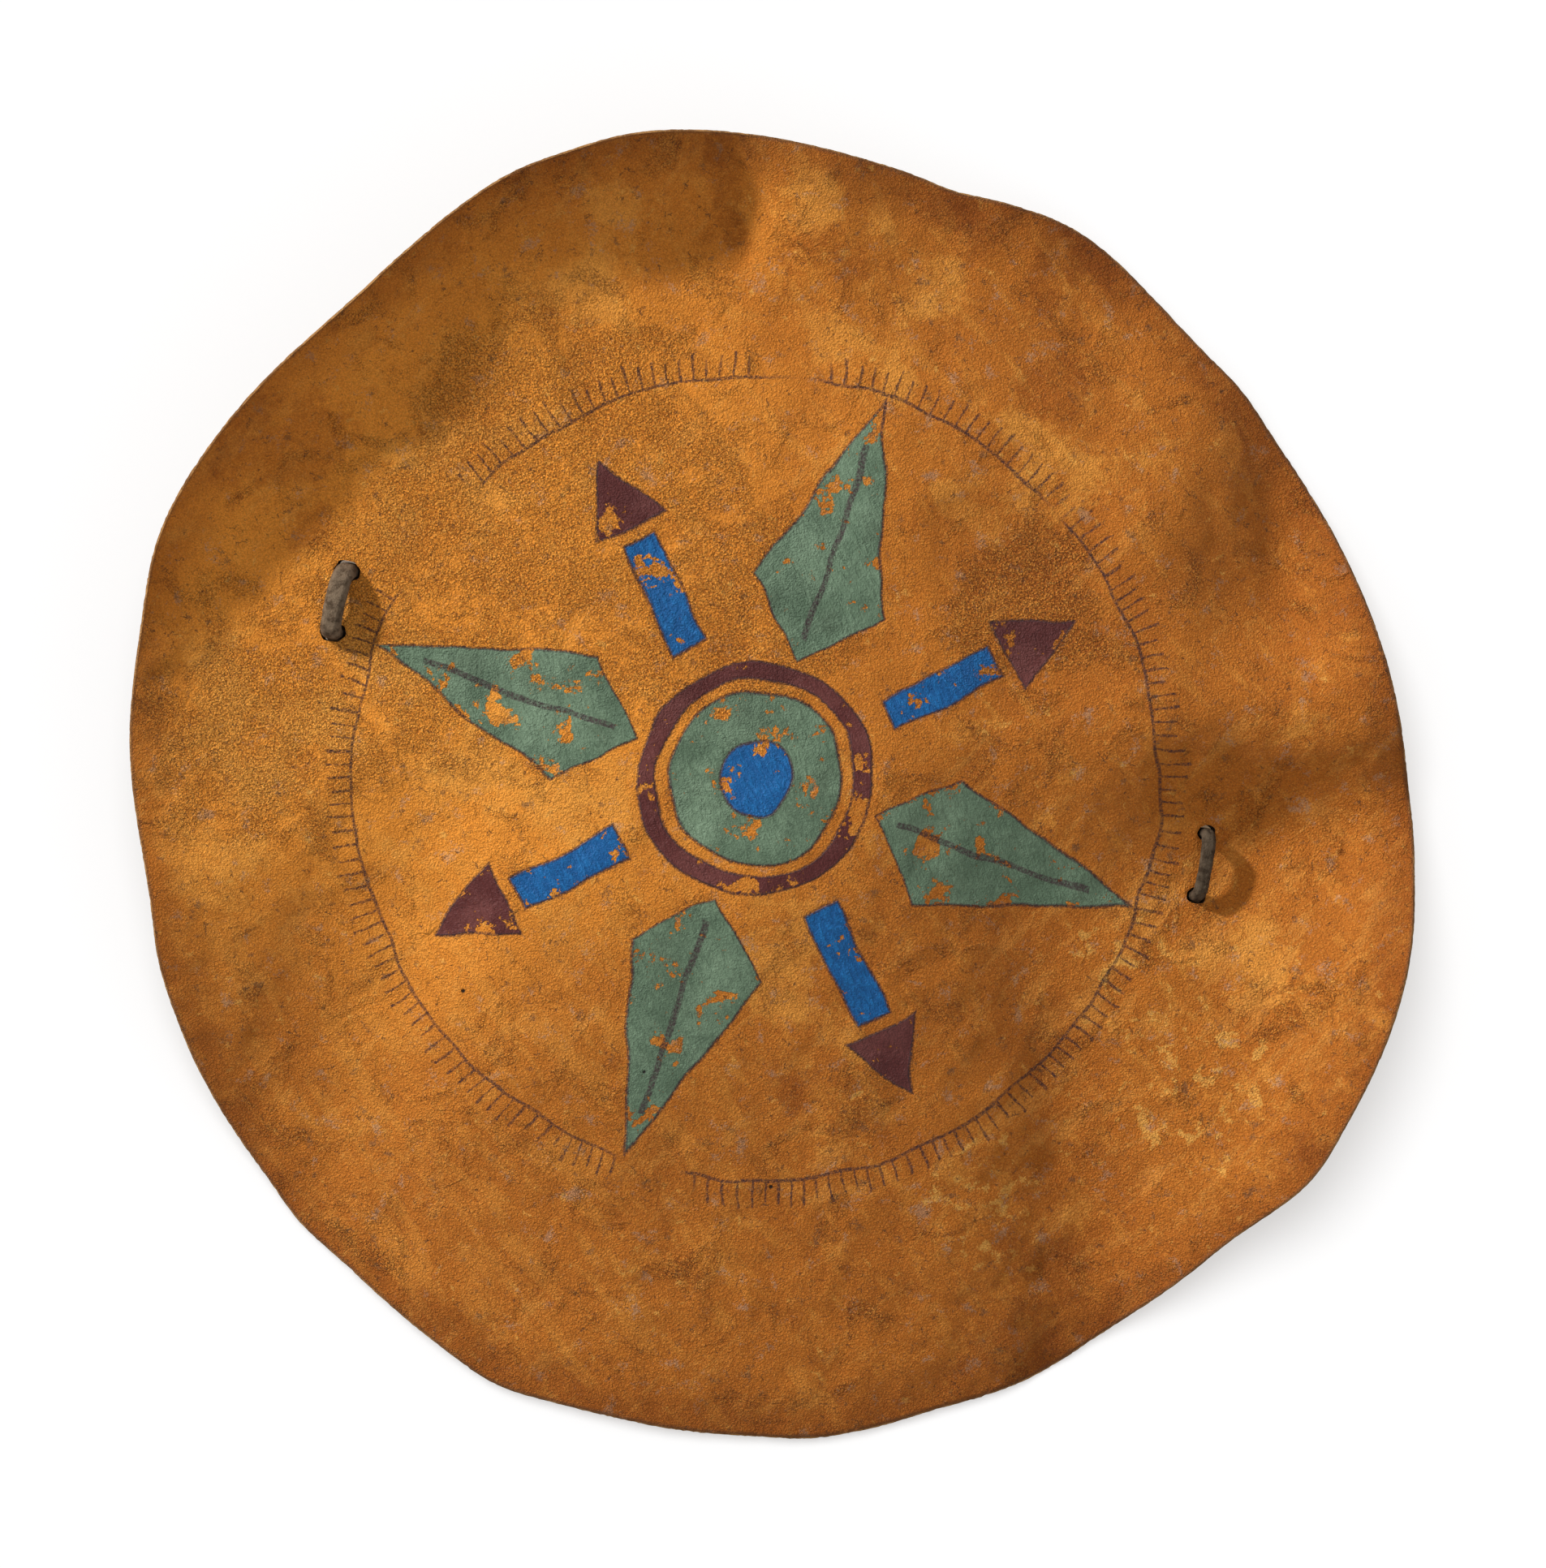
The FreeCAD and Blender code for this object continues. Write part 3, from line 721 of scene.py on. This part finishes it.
def makeDesign(net, place, values):
    waves = [(net.wave(place, scale, detail)["Color"], size) for scale, detail, size in values["wobbles"]]
    moved = place
    for wave, size in waves:
        centred = net.vector("SUBTRACT", wave, (0.5, 0.5, 0.5))
        moved = net.vector("MULTIPLY_ADD", centred, (2 * size, 2 * size, 0), moved)
    centred = net.vector("SUBTRACT", moved, (*values["centre"], 0))
    turned = net.node("Mapping", {"Vector": centred, "Rotation": (0, 0, values["turn"])})[0]
    flat = net.vector("MULTIPLY", turned, (1, 1, 0))
    sides = net.node("SeparateXYZ", {0: flat})
    radius = net.radius(flat)
    angle = net.maths("ARCTAN2", sides[1], sides[0])

    def sector(count, offset):
        folded = net.maths("PINGPONG", net.plus(angle, offset), math.pi / count)
        return [net.times(radius, net.maths(wave, folded)) for wave in ("SINE", "COSINE")]

    def between(value, low, high):
        return net.least(net.minus(value, low), net.minus(high, value))

    def fill(shape):
        return net.fade(shape, -0.2, 0.25)

    def stroke(shape, half=values["lineHalf"]):
        return net.fade(net.maths("ABSOLUTE", shape), half - 0.25, half + 0.3, 1, 0)

    count, start, end, opening, closing = values["rays"]
    across, along = sector(count, 0)
    rise = net.times(net.minus(along, start), opening)
    fall = net.times(net.minus(end, along), closing)
    ray = net.minus(net.least(rise, fall), across)
    shortStart, shortEnd, half = values["spine"]
    spine = net.least(between(along, start + shortStart, end - shortEnd), net.minus(half, across))
    disc = net.minus(values["discRadius"], radius)
    hub = net.minus(values["hubRadius"], radius)
    middle, half = values["ring"]
    ring = between(radius, middle - half, middle + half)
    across, along = sector(count, math.pi / count)
    start, end, half = values["bars"]
    bar = net.least(between(along, start, end), net.minus(half, across))
    start, end, slope = values["tips"]
    narrow = net.times(net.minus(end, along), slope)
    tip = net.least(net.minus(along, start), net.minus(narrow, across))
    count, length = values["ticks"]
    across, along = sector(count, 0)
    outer = values["outerRing"]
    uneven = net.noise(place, 0.22, 1)
    reach = net.timesPlus(uneven, length, outer + 0.45 * length)
    slim = net.timesPlus(uneven, 0.9, -0.05)
    tick = net.least(between(along, outer, reach), net.minus(slim, across))
    kept = net.fade(net.noise(place, 0.016, 2), 0.37, 0.43)  # part of the outer ring has worn away
    fringe = net.times(kept, net.most(stroke(net.minus(radius, outer), 0.55), net.fade(tick, -0.25, 0.2)))
    lines = net.most(stroke(ray), stroke(disc), stroke(hub), stroke(ring, 0.45), stroke(bar),
                     stroke(tip, 0.5), fringe, net.fade(spine, -0.3, 0.3))
    blue = net.most(fill(bar), fill(hub))
    red = net.most(fill(ring), fill(tip))
    green = net.times(net.most(fill(ray), fill(disc)), net.minus(1, fill(hub)))
    return green, blue, red, lines


# The painted face: ochre rubbed into the rough side of the hide
faceValues = {
    "grain": 0.85,
    "smoothness": 0.61,
    "roughSpots": [(-72, 110, 85), (-120, 60, 70), (-20, 60, 60), (-180, 20, 60), (90, 60, 40)],
    "roughPull": -0.23,
    "sunny": (-130, 80, 110, 270),  # x, y, end of the ochre, start of the rust
    "ochre": (0.82, 0.292, 0.033, 1),
    "rust": (0.51, 0.158, 0.017, 1),
    "hollow": (0.6, 0.48, 0.36, 1),
    "pit": (0.34, 0.22, 0.14, 1),
    "wornTopHighlight": (0.95, 0.44, 0.08, 1),
    "crack": (0.10, 0.045, 0.02, 1),
    "napHeight": 1.25,
    "grit": 0.42,  # light and dark specks
    "rimDark": (0.36, 0.22, 0.12, 1),
    "rimBand": 0.021,
    "brink": (0.12, 0.06, 0.03, 1),
    "pinHoles": [(-109.8, -73.6, 0.9), (-0.6, -143.2, 0.9), (-45.6, -102.3, 0.7)],
    "pinHole": (0.01, 0.006, 0.004, 1),
    "layers": [
        {"size": 60, "cover": 0.4, "softness": 0.16, "ragged": 0.2, "amount": 0.14,
         "colour": (0.78, 0.66, 0.5, 1), "kind": "MULTIPLY"},
        # lighter ochre patches: painted light where slopes face the lamp, with a yellower hide on the left
        {"size": 22, "cover": 0.16, "softness": 0.10, "ragged": 0.35, "amount": 0.5,
         "colour": (0.88, 0.38, 0.062, 1),
         "spots": [(10, 212, 22), (32, 150, 30), (58, 178, 24), (80, 108, 30), (-115, 110, 42), (-62, 176, 26),
                   (-56, 207, 15), (-195, 22, 52), (-150, 38, 46), (-205, -30, 36), (100, 118, 30),
                   (-80, 10, 60), (0, -60, 40), (168, -66, 30)], "extra": 0.36},
        {"size": 7, "cover": 0.3, "softness": 0.09, "ragged": 0.35, "amount": 0.26, "turn": 0.66,
         "colour": (0.86, 0.37, 0.06, 1), "spots": [(-110, -110, 150)], "extra": 0.12},
        {"size": 6, "cover": 0.18, "softness": 0.07, "ragged": 0.4, "amount": 0.28, "turn": 0.05,
         "colour": (0.5, 0.36, 0.26, 1), "kind": "MULTIPLY", "spots": [(0, -150, 110)], "extra": 0.14},
        {"size": 8, "cover": 0.24, "softness": 0.07, "ragged": 0.4, "amount": 0.28, "turn": -0.78,
         "colour": (0.84, 0.38, 0.075, 1), "spots": [(150, -80, 120)], "extra": 0.14},
        {"size": 11, "cover": 0.2, "softness": 0.06, "ragged": 0.55, "amount": 0.24,
         "colour": (0.5, 0.38, 0.28, 1), "kind": "MULTIPLY"},
        {"size": 6, "cover": 0.13, "softness": 0.05, "ragged": 0.4, "amount": 0.55,
         "colour": (0.86, 0.46, 0.10, 1), "spots": [(150, -105, 46), (128, -60, 30), (80, -150, 36)],
         "extra": 0.2},
        {"size": 8, "cover": 0.19, "softness": 0.05, "ragged": 0.5, "amount": 0.42,
         "colour": (0.42, 0.29, 0.20, 1)},
        {"size": 5, "cover": 0.17, "softness": 0.04, "ragged": 0.5, "amount": 0.6,
         "colour": (0.17, 0.085, 0.04, 1)},
        {"size": 22, "cover": 0.0, "softness": 0.10, "ragged": 0.45, "amount": 0.45,
         "colour": (0.50, 0.35, 0.24, 1), "kind": "MULTIPLY",
         "spots": [(191, -127, 22), (10, -108, 14), (-175, 115, 40), (18, 184, 26), (70, 200, 30),
                   (104, 182, 30), (100, 138, 22), (95, -190, 46), (-170, 92, 14)],
         "extra": 0.6},
        # a line of painted shade down the crease at the top
        {"size": 3, "cover": 0.0, "softness": 0.2, "ragged": 0.6, "amount": 0.42,
         "colour": (0.42, 0.30, 0.20, 1), "kind": "MULTIPLY",
         "spots": [(-19, 229, 8), (-18, 222, 9), (-17, 215, 9), (-16, 208, 9), (-15, 201, 8), (-13, 194, 7)],
         "extra": 0.75},
    ],
}


def makePaintedFace(groups, values, design):
    net, place = newMaterial("paintedFace", groups, 0.22)
    near = net.attribute("rimDistance")
    rougher = net.timesPlus(net.rounds(place, values["roughSpots"]), values["roughPull"], values["smoothness"])
    nap = net.group("nap", place, Grain=values["grain"], Smoothness=rougher)
    x, y, inner, outer = values["sunny"]
    away = net.distance(place, x, y, 50)
    rusty = net.fade(net.timesPlus(net.noise(place, 1 / 90, 2), 80, away), inner, outer)
    colour = net.mix(rusty, values["ochre"], values["rust"])
    colour = net.stains(place, colour, values["layers"])
    # painted shade in the hollows of the added relief, darker where the mesh lies below the CAD face
    low = net.fade(net.attribute("relief"), 0.0004, -0.0012)
    colour = net.tint(low, 0.35, colour, values["hollow"], "MULTIPLY")
    # painted shade darkens the pits; the crumb tops get a painted highlight with wear
    colour = net.tint(nap["Pits"], 0.65, colour, values["pit"], "MULTIPLY")
    colour = net.tint(nap["Tops"], 0.5, colour, values["wornTopHighlight"])
    speck = net.timesPlus(nap["Grit"], values["grit"], 1)
    colour = net.node("HueSaturation", {"Value": speck, "Color": colour})["Color"]
    crack = net.cracks(place, 10, 0.13, 0.36)
    colour = net.tint(crack, 0.75, colour, values["crack"])

    green, blue, red, lines = makeDesign(net, place, design)
    chips = net.blotches(net.shifted(place, 250), *design["chips"])
    flecks = net.blotches(net.shifted(place, 330), *design["flecks"])
    sound = net.minus(1, net.most(chips, flecks))
    streaks = net.noise(net.millimetres(0.5, (1, 0.3, 1)), 0.7, 3, 0.65, 0.6)
    tone = net.noise(place, 0.06, 3, 0.6)
    sage = net.mix(net.fade(net.plus(net.times(streaks, 0.5), tone), 0.55, 1.0),
                   design["sage"], design["sageLight"])
    sage = net.tint(net.fade(net.noise(place, 0.035, 4, 0.6), 0.5, 0.68), 0.5, sage, design["sageDark"])
    cobalt = net.mix(net.fade(streaks, 0.4, 0.7), design["cobalt"], design["cobaltLight"])
    maroon = net.mix(net.fade(tone, 0.4, 0.65), design["maroon"], design["maroonLight"])
    for mask, paint in ((green, sage), (blue, cobalt), (red, maroon)):
        colour = net.tint(mask, sound, colour, paint)
    pressed = net.fade(net.noise(place, 1.1, 3, 0.75), 0.36, 0.6, 0.3, 1)  # a dry stroke on rough hide
    colour = net.tint(net.times(lines, pressed), 0.9, colour, design["line"])

    ragged = net.timesPlus(net.noise(place, 0.05, 4, 0.65), 0.030, -0.015)
    band = net.fade(net.plus(near, ragged), 0.0, values["rimBand"], 1, 0)
    colour = net.tint(band, 0.5, colour, values["rimDark"], "MULTIPLY")
    colour = net.tint(net.fade(near, 0.0002, 0.0022, 1, 0), 0.7, colour, values["brink"])
    # pin holes: dark dots of painted shade inside them, and a dip in the bump
    pricks = net.rounds(place, values["pinHoles"])
    colour = net.mix(pricks, colour, values["pinHole"])

    paint = net.times(net.most(green, blue, red), sound)
    height = net.times(net.times(nap["Height"], values["napHeight"]), net.fade(paint, 0, 1, 1, 0.4))
    height = net.plus(height, net.times(net.times(streaks, paint), 0.9))
    for mask, depth in ((paint, 0.12), (crack, -0.22), (pricks, -1.2)):
        height = net.timesPlus(mask, depth, height)
    return net.surface(colour, height, Roughness=net.fade(paint, 0, 1, 0.9, 0.5))


# The cut rim: chipped fibres
edgeValues = {
    "pale": (0.44, 0.225, 0.075, 1),
    "dirt": (0.21, 0.09, 0.026, 1),
    "shade": (0.5, 0.4, 0.3, 1),
}


def makeCutEdge(groups, values):
    net, place = newMaterial("cutEdge", groups, 0.2, 0.9)
    layers = net.millimetres(0, (0.25, 0.25, 2.4))
    colour = net.tint(net.blotches(place, 7, 0.5, 0.08, 0.6), 0.85, values["pale"], values["dirt"])
    fibres = net.noise(layers, 1.0, 3, 0.6)
    colour = net.mix(net.fade(fibres, 0.62, 0.4, 0, 0.5), colour, values["shade"], "MULTIPLY")
    return net.surface(colour, net.timesPlus(fibres, 0.5, net.times(net.nap(place, 0.9, 0.35), 0.3)))


# The back: the untreated flesh side
backValues = {
    "pale": (0.56, 0.40, 0.21, 1),
    "tan": (0.42, 0.25, 0.11, 1),
    "shade": (0.6, 0.5, 0.4, 1),
    "vein": (0.26, 0.13, 0.06, 1),
    "rim": (0.34, 0.14, 0.03, 1),
    "layers": [
        {"size": 55, "cover": 0.5, "softness": 0.14, "ragged": 0.15, "amount": 0.5,
         "colour": (0.72, 0.66, 0.56, 1), "kind": "MULTIPLY"},
        {"size": 24, "cover": 0.3, "softness": 0.06, "ragged": 0.4, "amount": 0.45,
         "colour": (0.5, 0.42, 0.34, 1), "kind": "MULTIPLY"},
        {"size": 10, "cover": 0.22, "softness": 0.05, "ragged": 0.5, "amount": 0.5,
         "colour": (0.68, 0.52, 0.32, 1)},
        {"size": 34, "cover": 0.16, "softness": 0.03, "ragged": 0.5, "amount": 0.6,
         "colour": (0.30, 0.17, 0.08, 1)},
    ],
}


def makeRawBack(groups, values):
    net, place = newMaterial("rawBack", groups, 0.3, 0.85)
    patches = net.fade(net.noise(place, 0.018, 3, 0.6), 0.35, 0.65)
    colour = net.mix(patches, values["pale"], values["tan"])
    colour = net.stains(place, colour, values["layers"])
    fibres = net.noise(net.millimetres(0.8, (1, 0.12, 1)), 0.5, 4, 0.65, 0.4)
    colour = net.mix(net.fade(fibres, 0.5, 0.3, 0, 0.5), colour, values["shade"], "MULTIPLY")
    veins = net.cracks(place, 46, 0.02, 0.5)
    colour = net.tint(veins, 0.45, colour, values["vein"])
    soaked = net.timesPlus(net.noise(place, 0.06, 4, 0.6), 0.026, -0.013)
    band = net.fade(net.plus(net.attribute("rimDistance"), soaked), 0.0, 0.02, 1, 0)
    colour = net.tint(band, 0.75, colour, values["rim"])
    height = net.timesPlus(fibres, 0.45, net.times(net.nap(place, 1.6, 0.48), 0.22))
    return net.surface(colour, net.timesPlus(veins, -0.2, height))


# Hole walls: raw fibre, mostly dark as painted shade inside the holes
holeWallValues = {
    "fibre": (0.30, 0.17, 0.07, 1),
    "dark": (0.05, 0.03, 0.02, 1),
}


def makeHoleWall(groups, values):
    net, place = newMaterial("holeWall", groups, 0.1, 0.95)
    # mostly dark: painted shade inside the hole
    colour = net.mix(net.blotches(place, 3, 0.75, 0.1, 0.5), values["fibre"], values["dark"])
    return net.surface(colour, net.times(net.nap(place, 0.6, 0.3), 0.25))


# Grey-brown suede of the thongs
suedeValues = {
    "worn": (0.15, 0.102, 0.064, 1),
    "deep": (0.090, 0.060, 0.037, 1),
    "grey": (0.24, 0.175, 0.115, 1),
    "sunkShade": (0.02, 0.013, 0.009, 1),
    "shade": (0.5, 0.44, 0.38, 1),
    "rightShade": 0.55,
}


def makeSuede(groups, values):
    net, place = newMaterial("suede", groups, 0.1, 0.95)
    lift = net.attribute("lift")  # height above the face of the hide, in metres
    patches = net.noise(place, 0.35, 3, 0.65)
    colour = net.mix(net.fade(patches, 0.35, 0.65), values["deep"], values["worn"])
    rubbed = net.times(net.fade(lift, 0.001, 0.0045), net.fade(patches, 0.3, 0.6))
    colour = net.tint(rubbed, 0.75, colour, values["grey"])
    # painted shade where the thong goes down into its hole
    sunkShade = net.times(net.fade(lift, 0.0012, -0.0015), net.fade(lift, -0.0075, -0.005))
    colour = net.tint(sunkShade, 0.8, colour, values["sunkShade"])
    fibres = net.noise(net.millimetres(-0.2, (1, 0.2, 1)), 2.4, 3, 0.7)
    colour = net.mix(net.fade(fibres, 0.5, 0.3, 0, 0.4), colour, values["shade"], "MULTIPLY")
    # painted shade: the right thong is darker than the left
    side = net.node("SeparateXYZ", {0: place})[0]
    tone = net.fade(side, -50, 50, 1, values["rightShade"])
    colour = net.node("HueSaturation", {"Value": tone, "Color": colour})["Color"]
    return net.surface(colour, net.timesPlus(fibres, 0.2, net.times(net.nap(place, 0.5, 0.2), 0.28)))


# Tanned hide of the strap
strapHideValues = {
    "tan": (0.33, 0.185, 0.085, 1),
    "dark": (0.145, 0.074, 0.033, 1),
    "crease": (0.06, 0.03, 0.018, 1),
    "layers": [
        {"size": 26, "cover": 0.45, "softness": 0.1, "ragged": 0.3, "amount": 0.6,
         "colour": (0.6, 0.52, 0.45, 1), "kind": "MULTIPLY"},
        {"size": 9, "cover": 0.25, "softness": 0.05, "ragged": 0.5, "amount": 0.5,
         "colour": (0.44, 0.29, 0.16, 1)},
        {"size": 5, "cover": 0.18, "softness": 0.04, "ragged": 0.5, "amount": 0.6,
         "colour": (0.10, 0.06, 0.035, 1)},
    ],
}


def makeStrapHide(groups, values):
    net, place = newMaterial("strapHide", groups, 0.35, 0.72)
    patches = net.fade(net.noise(place, 0.04, 4, 0.6), 0.35, 0.65)
    colour = net.mix(patches, values["tan"], values["dark"])
    colour = net.stains(place, colour, values["layers"])
    creases = net.cracks(net.millimetres(0.3, (1, 0.4, 1)), 9, 0.03, 0.6)
    colour = net.tint(creases, 0.5, colour, values["crease"])
    return net.surface(colour, net.timesPlus(creases, -0.2, net.times(net.nap(place, 0.8, 0.45), 0.16)))


# Shrunk rawhide of the lacing
laceValues = {
    "amber": (0.46, 0.30, 0.13, 1),
    "brown": (0.22, 0.12, 0.05, 1),
}


def makeLace(groups, values):
    net, place = newMaterial("lace", groups, 0.45, 0.55)
    colour = net.mix(net.blotches(place, 4, 0.5, 0.1, 0.4), values["amber"], values["brown"])
    return net.surface(colour, net.times(net.nap(place, 0.7, 0.4), 0.12))


# Lamps: a raking key from the upper left, an even fill, and a soft lamp for the floor alone
lightValues = {
    "keyLight": (140, 25, 3.7, 4.0),  # degrees anticlockwise from +X, degrees up, strength, angle
    "floorLight": (115, 72, 2.15, 34),
    "fill": 0.5,
    "floorSize": 6,
    "floorDrop": 0.0003,
    "floorColour": (0.93, 0.93, 0.935, 1),
    "floorGlow": (0.185, 0.205, 0.5),  # starts and ends at these radii, share beyond them
}


def makeSun(name, azimuth, elevation, strength, angle):
    deselectAll()
    azimuth, elevation = math.radians(azimuth), math.radians(elevation)
    towards = Vector((math.cos(azimuth) * math.cos(elevation), math.sin(azimuth) * math.cos(elevation),
                      math.sin(elevation)))
    bpy.ops.object.light_add(type="SUN", location=towards * 2)
    lamp = bpy.context.object
    lamp.name = name
    lamp.rotation_euler = towards.to_track_quat("Z", "Y").to_euler()
    lamp.data.energy = strength
    lamp.data.angle = math.radians(angle)
    return lamp


def seenDirectly(net):
    path = net.node("LightPath")
    return net.most(path["Is Camera Ray"], net.most(path["Is Glossy Ray"], path["Is Transmission Ray"]))


def makeFloor(values):
    deselectAll()
    bpy.ops.mesh.primitive_plane_add(size=values["floorSize"], location=(0, 0, -values["floorDrop"]))
    floor = bpy.context.object
    floor.name = "floor"
    material = bpy.data.materials.new("paleFloor")
    material.use_nodes = True
    net = Net(material.node_tree)
    net.tree.nodes.clear()
    white = net.node("BsdfDiffuse", {"Color": values["floorColour"]})[0]
    bright = net.node("Emission", {"Color": (1, 1, 1, 1), "Strength": 1})[0]
    radius = net.radius(net.node("TexCoord")["Object"])
    start, end, share = values["floorGlow"]
    clearOf = net.fade(radius, start, end, 0, share)  # a faint shadow, but dark below the holes
    pale = net.node("MixShader", {0: net.times(seenDirectly(net), clearOf), 1: white, 2: bright})[0]
    clear = net.node("BsdfTransparent")[0]
    behind = net.node("NewGeometry")["Backfacing"]  # from below the floor is clear
    bounced = net.node("LightPath")["Is Diffuse Ray"]  # and lets light reach the back
    mixed = net.node("MixShader", {0: net.most(behind, bounced), 1: pale, 2: clear})[0]
    net.node("OutputMaterial", {"Surface": mixed})
    floor.data.materials.append(material)
    return floor


def makeLights(values, floor):
    for name, state in (("key", "EXCLUDE"), ("floor", "INCLUDE")):  # the key misses the floor
        lamp = makeSun(name + "Light", *values[name + "Light"])
        receivers = bpy.data.collections.new(name + "Receivers")
        receivers.objects.link(floor)
        receivers.collection_objects[0].light_linking.link_state = state
        lamp.light_linking.receiver_collection = receivers
    world = bpy.data.worlds.new("studio")
    bpy.context.scene.world = world
    world.use_nodes = True
    net = Net(world.node_tree)
    net.tree.nodes.clear()
    strength = net.fade(seenDirectly(net), 0, 1, values["fill"], 1)
    background = net.node("Background", {"Color": (1, 1, 1, 1), "Strength": strength})[0]
    net.node("OutputWorld", {"Surface": background})
    print("lights: key, fill and floor lamp")


makeCamera(cameraValues)
makeLights(lightValues, makeFloor(lightValues))

groups = {"nap": makeNapGroup(), "blotches": makeBlotchGroup(), "cracks": makeCrackGroup()}
hideMaterials = {
    "paintedFace": makePaintedFace(groups, faceValues, designValues),
    "cutEdge": makeCutEdge(groups, edgeValues),
    "rawBack": makeRawBack(groups, backValues),
    "holeWall": makeHoleWall(groups, holeWallValues),
}
suede = makeSuede(groups, suedeValues)
strapHide = makeStrapHide(groups, strapHideValues)
lace = makeLace(groups, laceValues)
print("materials made")

makeHide(hideValues, hideMaterials)
left, right = thongPairs["left"], thongPairs["right"]
makeSoftCopy("leftThong", "left_thong", "left_stitch", suede, softValues, "thong", left)
makeSoftCopy("rightThong", "right_thong", "right_stitch", suede, softValues, "thong", right)
makeSoftCopy("strap", "carry_strap", "shield", strapHide, softValues, "strap")
makeLacing("leftLacing", "left_binding", left, right, lace, lacingValues)
makeLacing("rightLacing", "right_binding", right, left, lace, lacingValues)

bpy.context.scene.view_settings.view_transform = "Standard"
